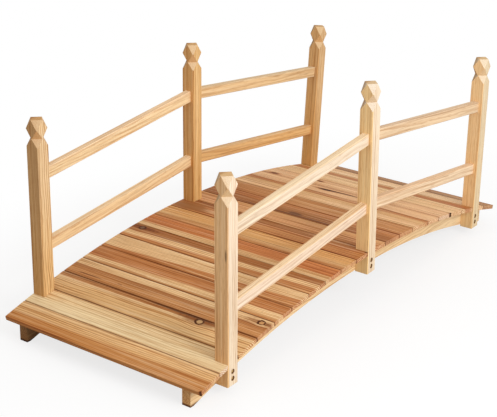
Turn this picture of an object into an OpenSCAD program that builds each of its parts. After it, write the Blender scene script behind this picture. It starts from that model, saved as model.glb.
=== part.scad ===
// Garden moon bridge: an arched plank deck on two bowed stringers, with six
// square posts, two rails on each side and a diamond-cut finial on each post.
// X runs along the bridge, Y across it, and Z = 0 is the ground under the feet.

/* [Deck] */
// Length of the deck, from one end edge to the other
deck_length = 1524; // [1100:1:2000]
// Width of the deck across the walkway, flush with the posts' outer faces
deck_width = 650; // [480:1:1000]
// Height that the deck's top rises from its ends to its middle
deck_rise = 103; // [70:1:160]
// Thickness of a deck board
board_thickness = 12; // [9:0.5:20]
// Width along the arch of each of the two boards at either end
end_board_pitch = 75; // [66:0.5:84]
// Gap between two boards
board_gap = 1.2; // [0.5:0.1:4]
// Bevel that eases the long top edges of a board
board_ease = 1.2; // [0.4:0.1:3]

/* [Stringers] */
// Thickness of a stringer, across the bridge
stringer_thickness = 25.5; // [18:0.5:38]
// Depth of a stringer, from the boards down to its hollow lower edge
stringer_depth = 53; // [40:1:80]
// Distance that the deck's end edge oversails a stringer's end
stringer_setback = 12; // [4:1:30]
// Length of the level foot sawn on a stringer's end
foot_length = 12; // [6:1:40]

/* [Posts] */
// Side of a square post
post_width = 40; // [30:0.5:60]
// Height of a post's shoulder above the deck, where the finial starts
shoulder_height = 407; // [340:1:600]
// Length of a post below the deck's top
post_drop = 67.5; // [56:0.5:110]
// Clearance round a post in the notches of the boards
notch_clearance = 0.4; // [0.2:0.1:2]
// Lean of the right starting post along the bridge, in degrees, positive towards the end
lean_angle_right_start = -0.9; // [-5:0.1:5]
// Lean of the right middle post along the bridge, in degrees
lean_angle_right_middle = -1.8; // [-5:0.1:5]
// Lean of the right ending post along the bridge, in degrees
lean_angle_right_end = 0; // [-5:0.1:5]
// Lean of the left starting post along the bridge, in degrees
lean_angle_left_start = 0; // [-5:0.1:5]
// Lean of the left middle post along the bridge, in degrees
lean_angle_left_middle = -0.3; // [-5:0.1:5]
// Lean of the left ending post along the bridge, in degrees
lean_angle_left_end = 3.9; // [-5:0.1:5]

/* [Finials] */
// Height of the waist above the shoulder, where the corner cuts are deepest
waist_height = 22; // [12:0.5:40]
// Height of the girdle above the waist, where the post is full again
girdle_height = 25; // [12:0.5:50]
// Height of the flat top above the girdle
crown_height = 25.5; // [12:0.5:50]
// Width left of each side of the post between the cuts at the waist
waist_flat = 0.6; // [0.3:0.1:12]
// Width left of each side of the post between the cuts at the flat top
crown_flat = 0.6; // [0.3:0.1:12]
// Width that the cuts take off each corner at the girdle
girdle_blunt = 0.3; // [0.1:0.1:2]

/* [Rails] */
// Height of a rail's section
rail_height = 32; // [22:0.5:45]
// Thickness of a rail, across the bridge
rail_thickness = 20; // [12:0.5:30]
// Height of the upper rail's top above the deck at a post
upper_rail_top = 345; // [280:1:395]
// Height of the lower rail's top above the deck at a post
lower_rail_top = 145; // [90:1:220]
// Bevel that eases the long edges of rails and posts
bar_ease = 1.2; // [0.4:0.1:3]

/* [Screws] */
// Diameter of the recess that sinks a screw's head
recess_diameter = 12; // [7:0.5:14]
// Depth of that recess
recess_depth = 7; // [3:0.5:12]
// Diameter of the screw's hole through the post
screw_hole_diameter = 5; // [3.5:0.5:6]
// Depth of the upper screw below the deck's top
upper_screw_drop = 30; // [22:0.5:34]
// Spacing of the two screws, one above the other
screw_spacing = 19; // [13:0.5:22]

/* [Hidden] */
$fn = 48;
board_count = 20;
end_boards = 2;
eps = 0.01;

// How far each seam lies from its even place, because boards differ in width
seam_shift = [0, 0, 0, 2, 0, -1, -1, -1, -2, -3, -2, -4, -3, -4, 12, 2, 0, 0, 0, 0, 0];

// How much higher each post's head is cut than the others, on the right and on the left
head_shift = [[-4, -1, -1], [4, -1, -2]];

deck_radius = (pow(deck_length / 2, 2) + pow(deck_rise, 2)) / (2 * deck_rise);
seat_radius = deck_radius - board_thickness;
hollow_radius = seat_radius - stringer_depth;
half_angle = asin(deck_length / 2 / deck_radius);
stringer_end = deck_length / 2 - stringer_setback;
arch_z = -sqrt(pow(hollow_radius, 2) - pow(stringer_end - foot_length, 2));

end_angle = 2 * asin(end_board_pitch / 2 / deck_radius);
inner_count = board_count - 2 * end_boards;
inner_angle = 2 * (half_angle - end_boards * end_angle) / inner_count;

post_y = deck_width / 2 - post_width / 2;
stringer_y = deck_width / 2 - post_width;
end_post_x = deck_radius * sin(seam_angle(board_count - end_boards)) + post_width / 2;
finial_height = waist_height + girdle_height + crown_height;

cream = [0.89, 0.76, 0.55];
honey = [0.83, 0.64, 0.42];
russet = [0.74, 0.48, 0.29];
board_tones = [russet, cream, honey, russet, cream, honey, cream, russet, honey, russet,
               honey, russet, russet, cream, cream, honey, honey, russet, cream, honey];

// Stations of the posts: -1 is the start, 0 the middle and 1 the end.
// Sides: -1 is the right of someone who walks along +X, and 1 is the left.

// Angle from the vertical of the seam after a number of boards, if all are even
function even_angle(k) =
    k <= end_boards ? k * end_angle - half_angle
    : k >= board_count - end_boards ? half_angle - (board_count - k) * end_angle
    : end_boards * end_angle - half_angle + (k - end_boards) * inner_angle;

// The same angle for the real boards
function seam_angle(k) = even_angle(k) + seam_shift[k] / deck_radius * 180 / PI;

// Height of the deck's top above the ground at a place along the bridge
function deck_z(x) = arch_z + sqrt(pow(deck_radius, 2) - pow(x, 2));

function post_x(station) = station * end_post_x;

// Lean of a post as a turn about Y, positive towards +X
function post_lean(side, station) =
    side < 0 ? [lean_angle_right_start, lean_angle_right_middle, lean_angle_right_end][station + 1]
             : [lean_angle_left_start, lean_angle_left_middle, lean_angle_left_end][station + 1];

// Height of a post's shoulder above the deck
function shoulder_z(side, station) = shoulder_height + head_shift[side < 0 ? 0 : 1][station + 1];

// Distance of a corner cut from the post's middle, where it leaves a flat on each side
function cut_distance(flat) = (post_width + flat) / 2 / sqrt(2);

// A square with its four corners bevelled
function eased_square(w, h, e) = [
    [e - w / 2, -h / 2], [w / 2 - e, -h / 2], [w / 2, e - h / 2], [w / 2, h / 2 - e],
    [w / 2 - e, h / 2], [e - w / 2, h / 2], [-w / 2, h / 2 - e], [-w / 2, e - h / 2]];

// Carries its children to a post's own axis, with zero at the deck's top
module at_post(side, station) {
    translate([post_x(station), side * post_y, deck_z(post_x(station))])
        rotate([0, post_lean(side, station), 0])
            children();
}

// Everything between a post's sides, for cutting what meets it
module post_block(side, station) {
    block_height = post_drop + shoulder_z(side, station) + finial_height;
    at_post(side, station)
        translate([-post_width / 2, -post_width, -post_drop])
            cube([post_width, 2 * post_width, block_height]);
}

// One notch in a board's end, open to the edge that lies along the post
module notch(side, station, towards) {
    reach = post_width + notch_clearance + board_thickness;
    notch_from = towards > 0 ? -post_width / 2 - notch_clearance
                             : post_width / 2 + notch_clearance - reach;
    at_post(side, station)
        translate([notch_from, -post_width / 2 - notch_clearance, -board_thickness * 2])
            cube([reach, post_width + 2 * notch_clearance, board_thickness * 4]);
}

// A board lies flat on its own facet of the stringers
module deck_board(i) {
    span = seam_angle(i) - seam_angle(i - 1);
    half_chord = seat_radius * sin(span / 2);
    low_edge = -half_chord + (i == 1 ? 0 : board_gap / 2);
    high_edge = half_chord - (i == board_count ? 0 : board_gap / 2);
    color(board_tones[i - 1])
        difference() {
            translate([0, 0, arch_z])
                rotate([0, (seam_angle(i) + seam_angle(i - 1)) / 2, 0])
                    translate([0, deck_width / 2, seat_radius * cos(span / 2)])
                        rotate([90, 0, 0])
                            linear_extrude(height = deck_width)
                                polygon([[low_edge, 0], [high_edge, 0],
                                         [high_edge, board_thickness - board_ease],
                                         [high_edge - board_ease, board_thickness],
                                         [low_edge + board_ease, board_thickness],
                                         [low_edge, board_thickness - board_ease]]);
            for (side = [-1, 1]) {
                if (i == end_boards) notch(side, -1, 1);
                if (i == board_count / 2) notch(side, 0, 1);
                if (i == board_count / 2 + 1) notch(side, 0, -1);
                if (i == board_count + 1 - end_boards) notch(side, 1, -1);
            }
        }
}

// A bowed plank: one facet for each board above, a true arc below, level feet
module stringer(side) {
    seats = [for (k = [0 : board_count])
        [seat_radius * sin(seam_angle(k)), arch_z + seat_radius * cos(seam_angle(k))]];
    inner_face = side > 0 ? stringer_y - stringer_thickness : -stringer_y;
    color(honey)
        translate([0, inner_face + stringer_thickness, 0])
            rotate([90, 0, 0])
                linear_extrude(height = stringer_thickness)
                    difference() {
                        intersection() {
                            polygon(concat(seats, [[deck_length, 0], [-deck_length, 0]]));
                            translate([-stringer_end, 0])
                                square([2 * stringer_end, deck_length]);
                        }
                        translate([0, arch_z])
                            circle(r = hollow_radius, $fn = 720);
                    }
}

// The cut that takes one corner off a post to shape the finial
module corner_cut(shoulder) {
    corner = (post_width - bar_ease) / sqrt(2);
    waist_z = shoulder + waist_height;
    girdle_z = waist_z + girdle_height;
    top_z = girdle_z + crown_height;
    clear = corner + post_width;
    rotate([90, 0, 45])
        linear_extrude(height = 2 * post_width, center = true)
            polygon([[corner, shoulder],
                     [cut_distance(waist_flat), waist_z],
                     [corner - girdle_blunt, girdle_z],
                     [cut_distance(crown_flat), top_z],
                     [cut_distance(crown_flat), top_z + eps],
                     [clear, top_z + eps],
                     [clear, shoulder]]);
}

// A post with its sunk screw holes and the diamond-cut finial
module post(side, station) {
    color(cream)
        at_post(side, station)
            difference() {
                translate([0, 0, -post_drop])
                    linear_extrude(height = post_drop + shoulder_z(side, station) + finial_height)
                        polygon(eased_square(post_width, post_width, bar_ease));
                for (quarter = [0 : 3])
                    rotate([0, 0, 90 * quarter])
                        corner_cut(shoulder_z(side, station));
                for (drop = [upper_screw_drop, upper_screw_drop + screw_spacing])
                    translate([0, 0, -drop])
                        rotate([side > 0 ? -90 : 90, 0, 0]) {
                            translate([0, 0, post_width / 2 - recess_depth])
                                cylinder(d = recess_diameter, h = recess_depth + 1);
                            translate([0, 0, -post_width / 2 - 1])
                                cylinder(d = screw_hole_diameter, h = post_width + 2);
                        }
            }
}

// A straight bar between two posts, its ends cut to the posts' faces
module rail(side, half, top_height) {
    run = end_post_x;
    climb = deck_z(0) - deck_z(end_post_x);
    tilt = half < 0 ? atan(climb / run) : -atan(climb / run);
    bar_length = run / cos(tilt);
    mid_z = (deck_z(0) + deck_z(end_post_x)) / 2 + top_height - rail_height / cos(tilt) / 2;
    color(cream)
        difference() {
            translate([half * end_post_x / 2, side * post_y, mid_z])
                rotate([0, -tilt, 0])
                    rotate([90, 0, 90])
                        linear_extrude(height = bar_length, center = true)
                            polygon(eased_square(rail_thickness, rail_height, bar_ease));
            post_block(side, half);
            post_block(side, 0);
        }
}

deck_board(1);  // deck_board_01
deck_board(2);  // deck_board_02
deck_board(3);  // deck_board_03
deck_board(4);  // deck_board_04
deck_board(5);  // deck_board_05
deck_board(6);  // deck_board_06
deck_board(7);  // deck_board_07
deck_board(8);  // deck_board_08
deck_board(9);  // deck_board_09
deck_board(10);  // deck_board_10
deck_board(11);  // deck_board_11
deck_board(12);  // deck_board_12
deck_board(13);  // deck_board_13
deck_board(14);  // deck_board_14
deck_board(15);  // deck_board_15
deck_board(16);  // deck_board_16
deck_board(17);  // deck_board_17
deck_board(18);  // deck_board_18
deck_board(19);  // deck_board_19
deck_board(20);  // deck_board_20
stringer(-1);  // stringer_right
stringer(1);  // stringer_left
post(-1, -1);  // post_right_start
post(-1, 0);  // post_right_middle
post(-1, 1);  // post_right_end
post(1, -1);  // post_left_start
post(1, 0);  // post_left_middle
post(1, 1);  // post_left_end
rail(-1, -1, upper_rail_top);  // upper_rail_right_start
rail(-1, 1, upper_rail_top);  // upper_rail_right_end
rail(1, -1, upper_rail_top);  // upper_rail_left_start
rail(1, 1, upper_rail_top);  // upper_rail_left_end
rail(-1, -1, lower_rail_top);  // lower_rail_right_start
rail(-1, 1, lower_rail_top);  // lower_rail_right_end
rail(1, -1, lower_rail_top);  // lower_rail_left_start
rail(1, 1, lower_rail_top);  // lower_rail_left_end
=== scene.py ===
from math import atan2, cos, pi, sin

import bpy
import numpy as np
from mathutils import Matrix, Vector


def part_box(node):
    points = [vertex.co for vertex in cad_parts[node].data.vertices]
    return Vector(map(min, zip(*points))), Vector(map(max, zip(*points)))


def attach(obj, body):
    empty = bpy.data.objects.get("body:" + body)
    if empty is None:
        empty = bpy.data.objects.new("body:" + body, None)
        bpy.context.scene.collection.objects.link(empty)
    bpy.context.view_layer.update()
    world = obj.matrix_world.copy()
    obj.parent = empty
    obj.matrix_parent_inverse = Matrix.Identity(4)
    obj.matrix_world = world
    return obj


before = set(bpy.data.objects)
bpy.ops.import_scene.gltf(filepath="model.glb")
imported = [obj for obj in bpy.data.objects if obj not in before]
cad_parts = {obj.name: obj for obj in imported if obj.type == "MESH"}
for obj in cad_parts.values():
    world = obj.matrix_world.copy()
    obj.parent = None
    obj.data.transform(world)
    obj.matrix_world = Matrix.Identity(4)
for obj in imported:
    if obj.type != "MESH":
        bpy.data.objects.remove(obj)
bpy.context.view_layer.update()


# Camera
# The view is from beyond the start, on the right as someone walks along +X, and
# a little above the finials, through a long lens. Its place was fitted to the
# board seams and post corners.
camera = bpy.data.objects.new("camera", bpy.data.cameras.new("camera"))
bpy.context.scene.collection.objects.link(camera)
bpy.context.scene.camera = camera
camera_place = Vector((-2.86496, -1.97603, 1.59170))
heading, dip, roll = 0.6312, -0.373, 0.0142
ahead = Vector((cos(dip) * cos(heading), cos(dip) * sin(heading), sin(dip)))
level = ahead.cross(Vector((0, 0, 1))).normalized()
upright = level.cross(ahead)
right_hand = level * cos(roll) + upright * sin(roll)
overhead = upright * cos(roll) - level * sin(roll)
camera.matrix_world = Matrix.Translation(camera_place) @ Matrix(
    (right_hand, overhead, -ahead)).transposed().to_4x4()
camera.data.sensor_width = 36
camera.data.lens = 94.23
camera.data.shift_x, camera.data.shift_y = 0.01197, -0.01653
camera.data.clip_end = 60


# Stage
# A white studio floor, with one broad soft lamp on the bridge's right and white
# walls all round. The floor keeps the bridge's soft shadow.
class Wire:
    """A value inside a material or a tree, so that sums on it read as sums."""

    def __init__(self, bench, socket):
        self.bench, self.socket = bench, socket

    def math(self, kind, first, second=0.0):
        return self.bench.make("ShaderNodeMath", {"operation": kind}, {0: first, 1: second})

    def __add__(self, other):
        return self.math("ADD", self, other)

    def __radd__(self, other):
        return self.math("ADD", other, self)

    def __sub__(self, other):
        return self.math("SUBTRACT", self, other)

    def __rsub__(self, other):
        return self.math("SUBTRACT", other, self)

    def __mul__(self, other):
        return self.math("MULTIPLY", self, other)

    def __rmul__(self, other):
        return self.math("MULTIPLY", other, self)

    def __truediv__(self, other):
        return self.math("DIVIDE", self, other)

    def __rtruediv__(self, other):
        return self.math("DIVIDE", other, self)

    def __pow__(self, other):
        return self.math("POWER", self, other)

    def __rpow__(self, other):
        return self.math("POWER", other, self)

    def __gt__(self, other):
        return self.math("GREATER_THAN", self, other)

    def __lt__(self, other):
        return self.math("LESS_THAN", self, other)

    def __neg__(self):
        return self.math("MULTIPLY", self, -1.0)

    def __abs__(self):
        return self.math("ABSOLUTE", self)

    def whole(self):
        return self.math("FLOOR", self)

    def part(self):
        return self.math("FRACT", self)

    def smaller(self, other):
        return self.math("MINIMUM", self, other)

    def fade(self, low, high):
        """0 at low and 1 at high, with a soft start and finish."""
        return self.bench.make("ShaderNodeMapRange", {"interpolation_type": "SMOOTHSTEP"},
                               {"Value": self, "From Min": low, "From Max": high})


class Bench:
    """A node tree while it is being put together."""

    def __init__(self, tree):
        self.tree = tree
        self.tree.nodes.clear()

    def make(self, kind, settings=None, feeds=None, give=0):
        """A node, its settings and what feeds its sockets. A list feeds one socket with them all."""
        node = self.tree.nodes.new(kind)
        for name, value in (settings or {}).items():
            if name == "stops":
                stops = node.color_ramp.elements
                stops.remove(stops[-1])
                for count, (place, colour) in enumerate(value):
                    stop = stops[0] if count == 0 else stops.new(place)
                    stop.position, stop.color = place, colour
            else:
                setattr(node, name, value)
        for name, value in (feeds or {}).items():
            wires = [value] if isinstance(value, Wire) else value
            if isinstance(wires, list):
                for wire in wires:
                    self.tree.links.new(wire.socket, node.inputs[name])
            else:
                node.inputs[name].default_value = value
        return Wire(self, node.outputs[give]) if len(node.outputs) else None

    def mix(self, kind, amount, under, over):
        """One colour laid over another."""
        return self.make("ShaderNodeMix", {"data_type": "RGBA", "blend_type": kind},
                         {0: amount, 6: under, 7: over}, give=2)

    def axis(self, vector, letter):
        """One coordinate of a vector, X, Y or Z."""
        return self.make("ShaderNodeSeparateXYZ", {}, {0: vector}, give=letter)


def material_bench(name):
    material = bpy.data.materials.new(name)
    material.use_nodes = True
    return material, Bench(material.node_tree)


def seen_directly(bench):
    """1 for what the camera sees, straight or in a mirror or glass, and 0 for light that bounces."""
    straight, mirrored, through = [
        bench.make("ShaderNodeLightPath", give=name)
        for name in ("Is Camera Ray", "Is Glossy Ray", "Is Transmission Ray")]
    return (straight + mirrored + through).smaller(1.0)


floor_radius, floor_corners = 20, 48
floor_turns = [corner * 2 * pi / floor_corners for corner in range(floor_corners)]
floor_mesh = bpy.data.meshes.new("floor")
floor_mesh.from_pydata([(floor_radius * cos(turn), floor_radius * sin(turn), 0) for turn in floor_turns],
                       [], [tuple(range(floor_corners))])
floor = bpy.data.objects.new("floor", floor_mesh)
bpy.context.scene.collection.objects.link(floor)

# how much of the shadow shows near the bridge, and the distances between which it fades to white
shadow_share, shadow_from, shadow_to = 0.24, 0.9, 1.6
white = (1.0, 1.0, 1.0, 1.0)
floor_paint, bench = material_bench("floor paint")
place = bench.make("ShaderNodeTexCoord", give="Object")
away = bench.make("ShaderNodeVectorMath", {"operation": "LENGTH"}, {
    0: bench.make("ShaderNodeMapping", {}, {"Vector": place, "Scale": (1.0, 1.5, 1.0)})}, give="Value")
direct = seen_directly(bench)
paint = bench.make("ShaderNodeBsdfDiffuse", {}, {
    "Color": bench.mix("MIX", direct, (0.45, 0.45, 0.45, 1.0), (0.97, 0.97, 0.97, 1.0))})
glow = bench.make("ShaderNodeEmission", {}, {"Color": white, "Strength": 1.0})
whiteness = 1.0 - shadow_share + shadow_share * away.fade(shadow_from, shadow_to)
bench.make("ShaderNodeOutputMaterial", {}, {"Surface": bench.make("ShaderNodeMixShader", {}, {
    0: direct * whiteness, 1: paint, 2: glow})})
floor_mesh.materials.append(floor_paint)

walls = bpy.data.worlds.new("studio walls")
walls.use_nodes = True
bench = Bench(walls.node_tree)
bench.make("ShaderNodeOutputWorld", {}, {"Surface": bench.make("ShaderNodeMixShader", {}, {
    0: seen_directly(bench),
    1: bench.make("ShaderNodeBackground", {}, {"Color": (1.0, 0.99, 0.98, 1.0), "Strength": 0.72}),
    2: bench.make("ShaderNodeBackground", {}, {"Color": white, "Strength": 1.0})})})
bpy.context.scene.world = walls

lamp_data = bpy.data.lights.new("soft lamp", "AREA")
lamp_data.shape, lamp_data.size = "DISK", 2.4
lamp_data.energy = 129
lamp = bpy.data.objects.new("soft lamp", lamp_data)
bpy.context.scene.collection.objects.link(lamp)
lamp_way = Vector((-0.20, -0.86, 0.47)).normalized()
lamp_distance = 4.8
lamp_target = Vector((0, 0, 0.25))
lamp.matrix_world = Matrix.Translation(lamp_way * lamp_distance + lamp_target) @ (
    lamp_way.to_track_quat("Z", "Y").to_matrix().to_4x4())
bpy.context.scene.view_settings.view_transform = "Standard"


# Deck boards
# Twenty planed softwood boards, laid flat across two stringers and nailed down.
# Each was cut from its own tree, so each has its own bands of russet heartwood
# and cream sapwood, and a few have knots.
def lie(name, looks=(0, 0, 1)):
    """A piece's middle, its turn about Y and its sizes, squared up by its faces that look one way."""
    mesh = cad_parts[name].data
    looks = Vector(looks)
    facing = sum((face.normal * face.area for face in mesh.polygons if face.normal.dot(looks) > 0.95),
                 Vector()).normalized()
    turn = atan2(facing.x, facing.z) if looks.z else atan2(-facing.z, facing.x)
    flat = Matrix.Rotation(-turn, 3, "Y")
    spots = np.array([flat @ corner.co for corner in mesh.vertices])
    low, high = Vector(spots.min(0)), Vector(spots.max(0))
    return Matrix.Rotation(turn, 3, "Y") @ ((low + high) / 2), turn, high - low


def tone(code):
    """A written colour such as D8B685, as the renderer counts it."""
    parts = [int(code[at:at + 2], 16) / 255 for at in (0, 2, 4)]
    return tuple(((p + 0.055) / 1.055) ** 2.4 if p > 0.04 else p / 12.92 for p in parts) + (1.0,)


class Timber:
    """Softwood as a solid: growth rings round a pith that runs along the grain, so that faces,
    edges and end grain agree. The grain names the axes that run across, along and through the
    piece, and the tones are (place across, colour) from one edge to the other.

    The bands slant along the piece and lean inward through it. A year's ring is rings wide round
    the pith. Late and streaks say how dark its lines are, and waver, wavy, sway and drift how
    they wander. Rich and bright set the colour's strength and lightness."""

    def __init__(self, name, middle, turn, grain, width, tones, seed, slant=0.0, inward=0.25,
                 rings=0.0050, pith=(0.03, 0.06), late=0.8, streaks=0.8, waver=0.008, wavy=4.0,
                 sway=0.008, drift=0.0, rich=0.94, bright=0.88, knots=()):
        self.material, self.bench = material_bench(name)
        self.width, self.seed = width, seed
        bench = self.bench
        self.place = bench.make("ShaderNodeTexCoord", give="Object")
        own = bench.make("ShaderNodeMapping", {"vector_type": "TEXTURE"},
                         {"Vector": self.place, "Location": middle, "Rotation": (0, turn, 0)})
        self.across, self.along, self.deep = [bench.axis(own, axis.upper()) for axis in grain]
        self.grain_way = Matrix.Rotation(turn, 3, "Y") @ Vector(
            [float(axis == grain[1]) for axis in "xyz"])

        # the grain runs round each knot
        self.knots = []
        bent = self.across
        for knot_across, knot_along, size, heart, shift in knots:
            aside, beyond = (self.across - knot_across) / size, (self.along - knot_along) / (size * 1.15)
            squared = aside * aside + beyond * beyond
            bent = bent - (self.across - knot_across) * (0.85 / (1.0 + squared))
            self.knots.append((aside, beyond, squared, heart, shift))

        self.slow = self.noise(7, 1.3) - 0.5
        self.slower = self.noise(5, 3.5, shift=40) - 0.5
        self.streak = self.noise(170, 2.0, 3.0, shift=55)
        self.hair = self.noise(480, 5.0, shift=63)
        fibre = self.noise(1500, 26, shift=70)
        figure = self.noise(45, 4.5, 3.0, shift=120) - 0.5
        dashes = self.noise(620, 24, 1.0, shift=130)

        # each year's ring is pale first and ends in a dark line of its own strength
        from_pith = (bent - pith[0] + self.slow * (waver * 1.6)
                     + self.along * (slant * width * 0.6 + drift)
                     + (self.noise(14, wavy * 1.3, 1.0, shift=21) - 0.5) * sway)
        below = self.deep - pith[1] + self.slower * waver
        radius = (from_pith * from_pith + below * below) ** 0.5
        years = radius / rings + self.noise(55, wavy, shift=9) * 1.3
        own_year = bench.make("ShaderNodeTexWhiteNoise", {"noise_dimensions": "1D"},
                              {"W": years.whole() + seed * 7.3})
        self.ripeness = years.part()
        self.latewood = (self.ripeness.fade(0.30, 0.90) * (1.0 - self.ripeness.fade(0.93, 1.0))
                         * (0.30 + 0.85 * own_year))

        # the paler the wood, the fainter its lines
        self.band = (bent + self.along * (slant * width) + self.slow * (waver * 1.1)
                     + self.slower * (waver * 0.8) + (self.streak - 0.5) * 0.007
                     + self.deep * inward) / width + 0.5
        stops = [(at, tone(code)) for at, code in tones]
        self.colour = bench.make("ShaderNodeValToRGB", {"stops": stops}, {0: self.band})
        faint = 1.0 - 0.5 * bench.make("ShaderNodeRGBToBW", {}, {0: self.colour}).fade(0.45, 0.80)
        self.stain("MULTIPLY", self.latewood * faint * late, (0.60, 0.43, 0.29, 1))
        self.stain("MULTIPLY", self.streak.fade(0.50, 0.68) * faint * streaks, (0.68, 0.52, 0.38, 1))
        self.stain("SCREEN", (1.0 - self.streak.fade(0.30, 0.48)) * (streaks * 0.22),
                   (0.85, 0.66, 0.44, 1))
        self.stain("MULTIPLY", dashes.fade(0.58, 0.70) * 0.4, (0.56, 0.38, 0.25, 1))
        self.colour = bench.make("ShaderNodeHueSaturation", {}, {
            "Color": self.colour, "Saturation": rich + 0.10 * self.hair,
            "Value": (bright + 0.12 * fibre + 0.20 * self.hair + 0.14 * self.slow
                      + 0.22 * figure + 0.05 * own_year)})
        self.ridge = self.latewood * 0.5 + fibre * 0.5
        self.draw_knots()

    def noise(self, fine, long, detail=2.0, shift=0.0):
        """Noise drawn out along the grain, with so many lumps to the metre across it and along it."""
        spot = self.bench.make("ShaderNodeCombineXYZ", {}, {
            0: self.across * fine + (self.seed * 3.7 + shift), 1: self.along * long + self.seed * 1.9,
            2: self.deep * fine})
        return self.bench.make("ShaderNodeTexNoise", {}, {
            "Vector": spot, "Scale": 1.0, "Detail": detail, "Roughness": 0.55})

    def stain(self, kind, amount, colour):
        """Lays a colour over what the wood has so far."""
        self.colour = self.bench.mix(kind, amount, self.colour, colour)

    def draw_knots(self):
        """Knots have a ring of dark bark, thicker on one side, and drag the grain dark beside them."""
        for aside, beyond, squared, heart, shift in self.knots:
            rough = self.noise(160, 90, 3.0, shift=90) - 0.5
            ragged = squared ** 0.5 + rough * 0.6
            dragged = (aside * aside * 1.6 + beyond * beyond * 0.06) ** 0.5 + rough * 1.1
            off_middle = beyond - shift
            inner = (aside * aside * 2.1 + off_middle * off_middle * 2.3) ** 0.5 + rough * 0.8
            self.stain("MULTIPLY", (1.0 - dragged.fade(0.5, 1.6)) * 0.85, (0.46, 0.31, 0.21, 1))
            self.stain("MIX", 1.0 - ragged.fade(0.85, 1.10), tone("54290E"))
            self.stain("MIX", 1.0 - inner.fade(0.70, 0.98), self.bench.mix(
                "MULTIPLY", self.hair.fade(0.42, 0.66) * 0.7, tone(heart), (0.68, 0.50, 0.36, 1)))
            self.ridge = self.ridge - (1.0 - abs(ragged - 0.85).fade(0.0, 0.25)) * 2.0

    def saw_ends(self, kind, colour, amount, pore_scale=450, pore_strength=0.9):
        """Sawn ends drink light and show the rings as arcs."""
        self.facing = self.bench.make("ShaderNodeTexCoord", give="Normal")
        self.squareness = abs(self.bench.make("ShaderNodeVectorMath", {"operation": "DOT_PRODUCT"}, {
            0: self.facing, 1: self.grain_way}, give="Value"))
        self.sawn = self.squareness.fade(0.2, 0.5)
        self.pores = self.noise(pore_scale, pore_scale, 3.0, shift=12)
        self.stain(kind, self.sawn * amount, colour)
        self.stain("MULTIPLY", self.sawn * self.pores.fade(0.46, 0.66) * pore_strength,
                   (0.58, 0.38, 0.27, 1))

    def ring_ends(self):
        """The end grain's rings, darker where each year ends and brighter where it begins."""
        self.stain("MULTIPLY", self.sawn * self.ripeness.fade(0.45, 0.80), (0.84, 0.62, 0.46, 1))
        self.stain("SCREEN", self.sawn * (1.0 - self.ripeness.fade(0.15, 0.45)), (0.30, 0.15, 0.08, 1))

    def mark(self, mark_across, mark_along, wide, long, shade):
        """A crack, a piece of bark, a smear or the painted shade of a hole. The darkest ones have a brown
        halo.
        """
        aside = (self.across - mark_across + (self.slower * 0.02 + (self.streak - 0.5) * 0.012)) / wide
        beyond = (self.along - mark_along) / long
        spread = (aside * aside + beyond * beyond) ** 0.5
        spread = spread + (self.noise(300, 30, 3.0, shift=33) - 0.5) * 0.9
        smear = 1.0 - spread.fade(0.55, 1.1)
        if int(shade[:2], 16) < 0x60:
            self.stain("MULTIPLY", 1.0 - spread.fade(0.6, 2.0), (0.66, 0.44, 0.28, 1))
        self.stain("MIX", smear * 0.92, tone(shade))
        self.ridge = self.ridge - smear * 1.5

    def paint_seam_shade(self, side, amount):
        """Painted shade, partly dirt, in the seam along one edge of a board, -1 for the edge towards the
        start.
        """
        seam_shade = (self.across * side + (self.hair - 0.5) * 0.0020 + self.slow * 0.0016).fade(
            self.width / 2 - 0.0024, self.width / 2 - 0.0006)
        self.stain("MULTIPLY", seam_shade * amount, (0.38, 0.24, 0.15, 1))

    def dress(self, name):
        """Ends the material and puts it on the piece."""
        bump = self.bench.make("ShaderNodeBump", {}, {
            "Strength": 0.4, "Distance": 0.0004, "Height": self.ridge + self.sawn * self.pores * 0.8})
        surface = self.bench.make("ShaderNodeBsdfPrincipled", {}, {
            "Base Color": self.colour, "Roughness": 0.66 - self.latewood * 0.10 + self.sawn * 0.12,
            "Specular IOR Level": 0.12, "Normal": bump})
        self.bench.make("ShaderNodeOutputMaterial", {}, {"Surface": surface})
        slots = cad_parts[name].data.materials
        slots.clear()
        slots.append(self.material)


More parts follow.
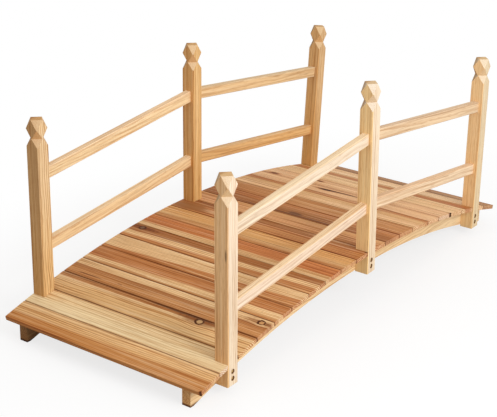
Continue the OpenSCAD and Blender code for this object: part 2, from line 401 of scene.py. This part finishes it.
PALE, CREAM, HONEY, GOLD = "E9CFA1", "E2BC8A", "DAAF79", "DCA96B"
TAN, RUSSET, BROWN = "C68E58", "BE7F4A", "A9703F"
ROSY, BLUSH = "E3B588", "ECC495"
board_bands = [
    # how the bands slant, and the tones across the board from its edge towards the start
    (0.20, [(0, "BE8249"), (0.42, "C0864D"), (0.58, HONEY), (0.80, HONEY), (1, CREAM)]),
    (0.05, [(0, CREAM), (0.06, PALE), (0.52, PALE), (0.62, "E8C998"), (0.90, "E8C998"), (1, HONEY)]),
    (0.10, [(0, "DDB47D"), (0.66, "DDB47D"), (0.70, CREAM), (0.80, CREAM), (0.84, TAN), (1, "AC7848")]),
    (0.00, [(0, BROWN), (0.12, TAN), (0.34, TAN), (0.66, BROWN), (0.70, CREAM), (1, CREAM)]),
    (0.28, [(0, TAN), (0.07, "CC9A62"), (0.12, "E8C390"), (0.39, "E8C390"), (0.45, RUSSET),
            (1, "B87A46")]),
    (0.60, [(0, TAN), (0.34, RUSSET), (0.40, CREAM), (1, CREAM)]),
    (0.26, [(0, TAN), (0.29, RUSSET), (0.34, "E8C390"), (0.58, CREAM), (0.62, BROWN), (1, "A66A38")]),
    (0.03, [(0, CREAM), (0.34, HONEY), (0.37, "C88049"), (1, "C88049")]),
    (0.00, [(0, TAN), (0.10, TAN), (0.40, HONEY), (0.46, GOLD), (1, GOLD)]),
    (0.05, [(0, RUSSET), (0.40, TAN), (0.62, RUSSET), (0.72, BROWN), (0.85, BROWN), (1, BROWN)]),
    (0.00, [(0, TAN), (0.30, "DEA876"), (1, "D39E68")]),
    (0.00, [(0, BROWN), (0.5, BROWN), (0.75, RUSSET), (1, RUSSET)]),
    (0.00, [(0, RUSSET), (0.4, TAN), (1, TAN)]),
    (0.10, [(0, HONEY), (0.2, BLUSH), (0.72, HONEY), (0.84, TAN), (0.90, RUSSET), (1, TAN)]),
    (0.00, [(0, ROSY), (0.7, BLUSH), (1, ROSY)]),
    (0.00, [(0, ROSY), (0.5, BLUSH), (1, ROSY)]),
    (0.00, [(0, "F0CA9A"), (0.5, "E9C491"), (1, "F0CA9A")]),
    (0.00, [(0, "F2D0A2"), (0.27, "EACB98"), (0.32, RUSSET), (0.80, RUSSET), (0.86, HONEY), (1, CREAM)]),
    (0.00, [(0, "F3D3A8"), (1, "F0CA9C")]),
    (0.00, [(0, "A2744A"), (0.4, "A2744A"), (0.6, "C09262"), (1, "A2744A")]),
]
board_knots = {
    # place across and along the board, size, the heart's tone, and how far it lies off the middle
    3: (0.0262, -0.155, 0.0128, "CCA472", -0.12),
    4: (0.0205, -0.297, 0.0107, "CC9A64", -0.14),
    7: (0.0240, 0.290, 0.0110, "7C5A40", 0.1),
}
board_marks = {
    # place across and along the board, half the width, half the length, tone
    1: [(-0.0375, -0.3245, 0.0032, 0.005, "4A2A18"), (0.0375, 0.3240, 0.0026, 0.007, "2E190E")],
    3: [(0.036, -0.10, 0.004, 0.12, "6A4226")],
    4: [(-0.018, 0.14, 0.0015, 0.010, "6A4026"), (-0.022, 0.245, 0.0016, 0.060, "7A4A2A"),
        (-0.010, -0.19, 0.002, 0.020, "8A5A34"), (0.0200, -0.315, 0.0013, 0.014, "2E190E")],
    5: [(-0.034, 0.17, 0.006, 0.22, "C08855")],
    10: [(0.02, -0.321, 0.004, 0.004, "3A2418"), (-0.012, 0.275, 0.026, 0.080, "9C6538")],
    12: [(-0.018, -0.005, 0.011, 0.030, "744A2E"), (-0.030, 0.02, 0.002, 0.20, "5E3A22")],
    15: [(0.014, 0.014, 0.0046, 0.095, "3C1E0A"), (0.010, 0.060, 0.0080, 0.028, "3C1E0A")],
    # on boards 16 and 17 the near-black spots at the near ends, by their shared seam, are painted shade in
    # a hole
    16: [(-0.027, 0.283, 0.009, 0.017, "5C2A0C"), (0.017, 0.135, 0.007, 0.014, "5C2A0C"),
         (0.0350, -0.3245, 0.0042, 0.0045, "1C120B")],
    17: [(-0.0365, -0.3245, 0.003, 0.0045, "1C120B")],
}
# the sawn ends of most boards, and of the two that are paler
board_end = ("SCREEN", tone("C49C80"), 0.40)
pale_board_ends = {2: ("MIX", tone("F2E0CC"), 0.7), 16: ("MIX", tone("F0D8BC"), 0.75)}
# how much each of the nineteen seams is darkened, by painted shade and some dirt
seam_shade_amounts = (0.45, 0.85, 0.85, 0.7, 0.65, 0.6, 0.7, 0.6, 0.65, 0.75, 0.7, 0.8, 0.7, 0.8, 0.75, 0.75, 0.7,
             0.7, 0.6)
board_spots = []
for count, (slant, tones) in enumerate(board_bands, 1):
    name = f"deck_board_{count:02d}"
    middle, turn, sizes = lie(name)
    board_spots.append((middle, turn, sizes))

    # the pith lies below the board, to one side or the other, and elsewhere for each tree
    pith_side = (-1) ** (count // 2)
    pith = ((0.055 + 0.012 * (count % 3)) * pith_side, -0.04 - 0.015 * (count % 3))
    ring_width = 0.0038 + 0.0005 * (count * 5 % 4)

    # from board 7 on the wood is a little brighter each time, a painted light along the deck, and from
    # board 8 on its grain is stronger
    bright = 0.935 + 0.0032 * max(0, count - 6)
    late, streaks = (1.40, 1.35) if count >= 8 else (1.12, 1.05)
    wood = Timber(f"deck board {count:02d} softwood", middle, turn, "xyz", sizes.x, tones, seed=count,
                  slant=slant, rings=ring_width, pith=pith, late=late, streaks=streaks, waver=0.010,
                  sway=0.006, rich=0.95, bright=bright,
                  knots=[board_knots[count]] if count in board_knots else [])
    wood.saw_ends(*pale_board_ends.get(count, board_end))
    wood.ring_ends()
    for mark in board_marks.get(count, []):
        wood.mark(*mark)
    if count > 1:
        wood.paint_seam_shade(-1, seam_shade_amounts[count - 2])
    if count < len(board_bands):
        wood.paint_seam_shade(1, seam_shade_amounts[count - 1])
    wood.dress(name)


# Stringers
# Two bowed planks on edge, sawn to the arch from straight stock, so the
# grain runs level and breaks out along the curve. They carry the boards.
stringer_tones = [(0, "EBC692"), (0.4, "F0D2A4"), (0.75, "EBC692"), (1, "EBC692")]
# the tint of the sawn ends; on the left stringer, which stands in the deck's shadow, it is mostly painted
# shade
stringer_ends = {"stringer_right": (0.78, 0.63, 0.47, 1), "stringer_left": (0.31, 0.22, 0.15, 1)}
foot_dark_height = 0.008
for count, (name, end_tint_and_shade) in enumerate(stringer_ends.items()):
    low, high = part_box(name)
    wood = Timber(name.replace("_", " ") + " softwood", (low + high) / 2, 0.0, "zxy", high.z - low.z,
                  stringer_tones, seed=31 + count, pith=(-0.02, 0.05), late=0.7, streaks=0.6,
                  waver=0.02, sway=0.010, bright=0.89)
    wood.saw_ends("MULTIPLY", end_tint_and_shade, 1.0)
    if name == "stringer_left":
        # painted shade: the side that faces across the bridge, under the deck, is darkened as if in the
        # deck's shadow
        inner_side = -wood.bench.axis(wood.facing, "Y")
        wood.stain("MULTIPLY", inner_side.fade(0.5, 0.9) * 0.95, (0.30, 0.22, 0.15, 1))

    # the starting feet are darker along their bottom edge
    height = wood.bench.axis(wood.place, "Z")
    dark_foot = 1.0 - (height + (wood.hair - 0.5) * 0.003).fade(foot_dark_height * 0.4, foot_dark_height)
    dark_foot = dark_foot * (1.0 - wood.along.fade(0.0, 0.4))
    wood.stain("MULTIPLY", dark_foot * 0.95, (0.20, 0.13, 0.09, 1))
    wood.dress(name)


# Posts
# Six square posts planed from clear pine, with two screws low on each and a
# diamond-cut finial. The sides towards the start are the heart side, and browner.
post_tones = {
    # the heart side, the other sides, and the sawn facets of the finial
    "post_right_start": ("EABE89", "F1DDC3", "EBD3B0"), "post_left_start": ("CEA571", "EACC9F", "DEBB90"),
    "post_right_middle": ("F7D49A", "EDD8BC", "F0E2CE"), "post_left_middle": ("D8A769", "E5BE83", "E8CAA2"),
    "post_right_end": ("F8D29C", "E7D2AE", "F3E2C6"), "post_left_end": ("D7AA70", "DDB988", "E8CA9E"),
}
# how far a post reaches below the deck's top, and how far below it the two screws are
post_drop = 0.0675
post_screw_drops = (0.030, 0.049)
# the painted shade in a screw's recess reaches a little past the recess's rim
recess_shade_radius = 0.0062
# the height of the streak of bark on the first right post
bark_height = 0.372


def shade_finial(wood):
    """The flat top is browner. The facets on the left half get a painted shade, as they face away from the
    lamp, and those underneath a painted warm shade.
    """
    wood.stain("MULTIPLY", wood.squareness.fade(0.7, 0.95), (0.86, 0.72, 0.52, 1))
    # painted shade on the facets of the left half, away from the lamp
    wood.stain("MULTIPLY", wood.sawn * wood.deep.fade(0.002, 0.014), (0.66, 0.54, 0.40, 1))
    # painted warm shade on the facets that face down
    under = -wood.bench.axis(wood.facing, "Z")
    wood.stain("MULTIPLY", under.fade(0.15, 0.45), (1.0, 0.86, 0.68, 1))


def streak_heart_side(wood, streak_deep, streak_along, wide, long, shade):
    """A streak of bark down the heart side."""
    aside = (wood.deep - streak_deep + (wood.streak - 0.5) * 0.006) / wide
    beyond = (wood.along - streak_along) / long
    spread = (aside * aside + beyond * beyond) ** 0.5 + (wood.noise(300, 60, 3.0, shift=33) - 0.5) * 0.9
    heart_side = (-wood.across).fade(wood.width / 2 - 0.004, wood.width / 2 - 0.001)
    wood.stain("MIX", (1.0 - spread.fade(0.3, 1.1)) * heart_side * 0.8, tone(shade))


def paint_foot_light(wood, warmth, deck_line):
    """A post is a little warmer near the deck, a painted warm light bounced up from the deck. Below the
    deck its heart side is paler, a painted light."""
    height = wood.bench.axis(wood.place, "Z")
    # painted warm light near the deck
    wood.stain("MULTIPLY", (1.0 - height.fade(0.14, 0.42)) * warmth, (0.96, 0.88, 0.70, 1))
    # painted light on the heart side below the deck
    painted_light_below_deck = (1.0 - wood.along.fade(deck_line - 0.012, deck_line)) * (1.0 - wood.band.fade(0.05, 0.12))
    wood.stain("SCREEN", painted_light_below_deck, (0.22, 0.09, 0.03, 1))


def shade_recess(wood, recess_along, outward):
    """Painted shade in the recess of a sunk screw, on the outer face. Outward is 1 on the left, -1 on the
    right.
    """
    beyond = wood.along - recess_along
    from_middle = (wood.across * wood.across + beyond * beyond) ** 0.5 + (wood.hair - 0.5) * 0.001
    inside = 1.0 - from_middle.fade(recess_shade_radius, recess_shade_radius + 0.0008)
    inside = inside * (wood.deep * outward).fade(0.010, 0.012)
    wood.stain("MULTIPLY", inside, (0.30, 0.20, 0.13, 1))


for count, (name, (heart, sap, facets)) in enumerate(post_tones.items()):
    middle, turn, sizes = lie(name, (1, 0, 0))
    on_left = "left" in name
    deck_line = post_drop - sizes.z / 2
    wood = Timber(name.replace("_", " ") + " pine", middle, turn, "xzy", sizes.x,
                  [(0, heart), (0.06, heart), (0.11, sap), (1, sap)], seed=41 + count,
                  inward=0.0, rings=0.0036, pith=(-0.05, 0.07),
                  late=1.5 if name == "post_left_start" else 1.0, waver=0.006, wavy=8.0, sway=0.012)
    wood.saw_ends("MIX", tone(facets), 0.85, pore_scale=900, pore_strength=0.6)
    shade_finial(wood)
    if name == "post_right_start":
        streak_heart_side(wood, -0.014, bark_height - middle.z, 0.0024, 0.020, "6A5236")
    paint_foot_light(wood, 0.9 if on_left else 0.25, deck_line)
    for drop in post_screw_drops:
        shade_recess(wood, deck_line - drop, 1 if on_left else -1)
    wood.dress(name)


# Rails
# Eight straight pine bars, butted between the posts and eased on their long
# edges. They are about as pale as the posts, with long straight lines of grain.
rail_tones = {
    # the sides, the top and bottom, and how the grain drifts across the bar
    "upper_rail_right_start": ("EDD9BF", "EED4AE", 0.03),
    "lower_rail_right_start": ("EFD6BC", "EFCFA4", -0.02),
    "upper_rail_right_end": ("E9CBA5", "DFC2A0", 0.02),
    "lower_rail_right_end": ("EED2AF", "E8C49D", 0.03),
    "upper_rail_left_start": ("EDD1A4", "EECEA5", 0.05),
    "lower_rail_left_start": ("F4D5A5", "F4D3A6", -0.04),
    "upper_rail_left_end": ("E7C594", "E0C49B", -0.03),
    "lower_rail_left_end": ("E6B97B", "E1B884", 0.03),
}
for count, (name, (light, dark, drift)) in enumerate(rail_tones.items()):
    middle, turn, sizes = lie(name)
    wood = Timber(name.replace("_", " ") + " pine", middle, turn, "zxy", sizes.z,
                  [(0, dark), (0.16, light), (0.84, light), (0.94, dark), (1, dark)], seed=61 + count,
                  inward=0.0, streaks=0.85, wavy=5.0, drift=drift)
    wood.saw_ends("MIX", tone("EDC49C"), 0.45)
    wood.dress(name)


# Screws
# Two zinc-plated countersunk screws hold each post to its stringer. They sit
# at the bottom of the recesses, with a cross drive and a slightly domed head.
def instances_as_mesh(name, points, tree, finish, body="root"):
    """Runs a tree on a cloud of points and keeps the result as a plain mesh."""
    cloud = bpy.data.objects.new(name + " points", points)
    bpy.context.scene.collection.objects.link(cloud)
    step = cloud.modifiers.new("lay out", "NODES")
    step.node_group = tree
    step[tree.interface.items_tree["Finish"].identifier] = finish
    bpy.context.view_layer.update()
    depsgraph = bpy.context.evaluated_depsgraph_get()
    mesh = bpy.data.meshes.new_from_object(cloud.evaluated_get(depsgraph), depsgraph=depsgraph)
    bpy.data.objects.remove(cloud)
    piece = bpy.data.objects.new(name, mesh)
    mesh.name = name
    bpy.context.scene.collection.objects.link(piece)
    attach(piece, body)


def spot_cloud(name, spots):
    """Points with the way that each one faces and how far it is turned on that axis."""
    cloud = bpy.data.meshes.new(name)
    cloud.from_pydata([spot for spot, way, angle in spots], [], [])
    cloud.attributes.new("faces", "FLOAT_VECTOR", "POINT")
    cloud.attributes.new("turned", "FLOAT", "POINT")
    for count, (spot, way, angle) in enumerate(spots):
        cloud.attributes["faces"].data[count].vector = way
        cloud.attributes["turned"].data[count].value = angle
    return cloud


def new_tree(name, sizes):
    """A geometry tree with a named input for each size, and one for its finish."""
    tree = bpy.data.node_groups.new(name, "GeometryNodeTree")
    tree.interface.new_socket("Geometry", in_out="INPUT", socket_type="NodeSocketGeometry")
    tree.interface.new_socket("Geometry", in_out="OUTPUT", socket_type="NodeSocketGeometry")
    for size_name, value in sizes.items():
        kind = "NodeSocketInt" if isinstance(value, int) else "NodeSocketFloat"
        socket = tree.interface.new_socket(size_name, in_out="INPUT", socket_type=kind)
        socket.default_value = value
    tree.interface.new_socket("Finish", in_out="INPUT", socket_type="NodeSocketMaterial")
    bench = Bench(tree)
    entry = bench.make("NodeGroupInput").socket.node
    return tree, bench, {socket.name: Wire(bench, socket) for socket in entry.outputs if socket.name}


def set_out(bench, points, shape, material):
    """Puts the shape on every point, facing its way, and ends the tree."""
    way = bench.make("GeometryNodeInputNamedAttribute", {"data_type": "FLOAT_VECTOR"}, {"Name": "faces"})
    angle = bench.make("GeometryNodeInputNamedAttribute", {"data_type": "FLOAT"}, {"Name": "turned"})
    aim = bench.make("FunctionNodeAlignRotationToVector", {"axis": "Z"}, {"Vector": way})
    spin = bench.make("FunctionNodeAxisAngleToRotation", {}, {"Axis": (0, 0, 1), "Angle": angle})
    aimed = bench.make("FunctionNodeRotateRotation", {"rotation_space": "LOCAL"},
                       {"Rotation": aim, "Rotate By": spin})
    placed = bench.make("GeometryNodeInstanceOnPoints", {}, {
        "Points": points, "Instance": shape, "Rotation": aimed})
    solid = bench.make("GeometryNodeRealizeInstances", {}, {0: placed})
    coated = bench.make("GeometryNodeSetMaterial", {}, {"Geometry": solid, "Material": material})
    bench.make("NodeGroupOutput", {}, {0: coated})


zinc, bench = material_bench("zinc plating")
place = bench.make("ShaderNodeTexCoord", give="Object")
bloom = bench.make("ShaderNodeTexNoise", {}, {"Vector": place, "Scale": 900.0, "Detail": 3.0})
scuffs = bench.make("ShaderNodeTexNoise", {}, {"Vector": place, "Scale": 3500.0, "Detail": 2.0})
bench.make("ShaderNodeOutputMaterial", {}, {"Surface": bench.make("ShaderNodeBsdfPrincipled", {}, {
    "Base Color": bench.mix("MIX", bloom.fade(0.35, 0.7), tone("F4D696"), tone("D6AC66")),
    "Metallic": 0.35, "Roughness": 0.42 + bloom * 0.22,
    "Normal": bench.make("ShaderNodeBump", {}, {
        "Strength": 0.2, "Distance": 0.0001, "Height": scuffs})})})

screw_head_height = 0.0036
screw_tree, bench, size = new_tree("countersunk screw", {
    "Head Diameter": 0.0094, "Head Height": screw_head_height, "Dome": 0.0005,
    "Drive Width": 0.0013, "Drive Reach": 0.0026, "Drive Depth": 0.0016,
    "Shank Diameter": 0.0042, "Shank Length": 0.030})
head = bench.make("GeometryNodeMeshCylinder", {"fill_type": "TRIANGLE_FAN"}, {
    "Vertices": 48, "Side Segments": 2, "Fill Segments": 9,
    "Radius": size["Head Diameter"] / 2.0, "Depth": size["Head Height"]})
where = bench.make("GeometryNodeInputPosition")
x, y, z = [bench.axis(where, letter) for letter in "XYZ"]
out = (x * x + y * y) ** 0.5
upper = z > size["Head Height"] * 0.4
lower = z < size["Head Height"] * -0.4
rim = out / (size["Head Diameter"] / 2.0)
in_slot = (abs(x).smaller(abs(y)) < size["Drive Width"] / 2.0) * (out < size["Drive Reach"])
lift = upper * (size["Dome"] * (1.0 - rim * rim) - in_slot * size["Drive Depth"])
squeeze = 1.0 - lower * (1.0 - size["Shank Diameter"] / size["Head Diameter"])
shaped = bench.make("GeometryNodeSetPosition", {}, {
    "Geometry": head, "Position": bench.make("ShaderNodeCombineXYZ", {}, {
        0: x * squeeze, 1: y * squeeze, 2: z + lift})})
shank = bench.make("GeometryNodeTransform", {}, {
    "Geometry": bench.make("GeometryNodeMeshCylinder", {}, {
        "Vertices": 16, "Radius": size["Shank Diameter"] / 2.0, "Depth": size["Shank Length"]}),
    "Translation": bench.make("ShaderNodeCombineXYZ", {}, {
        2: (size["Shank Length"] + size["Head Height"]) * -0.5})})
joined = bench.make("GeometryNodeJoinGeometry", {}, {0: [shank, shaped]})
set_out(bench, size["Geometry"], joined, size["Finish"])

recess_depth = 0.007
outer_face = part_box("post_left_start")[1].y
head_from_middle = outer_face - recess_depth + screw_head_height / 2
screw_spots = []
for side, side_name in ((-1, "right"), (1, "left")):
    for count, station in enumerate(("start", "middle", "end")):
        middle, turn, sizes = lie(f"post_{side_name}_{station}", (1, 0, 0))
        upward = Matrix.Rotation(turn, 3, "Y") @ Vector((0, 0, 1))
        for row, drop in enumerate(post_screw_drops):
            spot = middle + upward * (post_drop - drop - sizes.z / 2)
            spot.y = side * head_from_middle

            # each screw was driven home at a turn of its own
            drive_turn = 0.4 + 1.3 * row + 0.9 * count
            screw_spots.append((spot, (0, side, 0), drive_turn))
instances_as_mesh("post_screws", spot_cloud("screw spots", screw_spots), screw_tree, zinc)


# Nails
# Two fine bright nails hold each board to each stringer. They are driven
# just below the planed face, so only their small round heads show.
nail_steel, bench = material_bench("nail steel")
place = bench.make("ShaderNodeTexCoord", give="Object")
dull = bench.make("ShaderNodeTexNoise", {}, {"Vector": place, "Scale": 700.0, "Detail": 2.0})
bench.make("ShaderNodeOutputMaterial", {}, {"Surface": bench.make("ShaderNodeBsdfPrincipled", {}, {
    "Base Color": bench.mix("MIX", dull.fade(0.3, 0.7), tone("8C7A62"), tone("6E5B45")),
    "Metallic": 0.8, "Roughness": 0.45 + dull * 0.2})})

# nails are driven by hand, so each misses its place by up to this much across and along the board
miss_across, miss_along = 0.0025, 0.003
nail_tree, bench, size = new_tree("nail head", {
    "Head Diameter": 0.0019, "Head Height": 0.0008, "Seed": 7})
disc = bench.make("GeometryNodeMeshCylinder", {"fill_type": "TRIANGLE_FAN"}, {
    "Vertices": 10, "Radius": size["Head Diameter"] / 2.0, "Depth": size["Head Height"]})
scattered = bench.make("GeometryNodeSetPosition", {}, {
    "Geometry": size["Geometry"],
    "Offset": bench.make("FunctionNodeRandomValue", {"data_type": "FLOAT_VECTOR"}, {
        "Min": (-miss_across, -miss_along, 0.0), "Max": (miss_across, miss_along, 0.0),
        "Seed": size["Seed"]})})
set_out(bench, scattered, disc, size["Finish"])

# the nails' places across a board, as shares of its width, and how deep a head's middle is sunk
nail_shares = (-0.24, 0.24)
nail_sink = 0.0003
low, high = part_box("stringer_left")
stringer_line = (low.y + high.y) / 2
nail_spots = []
for middle, turn, sizes in board_spots:
    for side in (-1, 1):
        for share in nail_shares:
            spot = middle + Matrix.Rotation(turn, 3, "Y") @ Vector(
                (share * sizes.x, 0, sizes.z / 2 - nail_sink))
            spot.y = side * stringer_line
            nail_spots.append((spot, (sin(turn), 0, cos(turn)), 0.0))
instances_as_mesh("deck_nails", spot_cloud("nail spots", nail_spots), nail_tree, nail_steel)
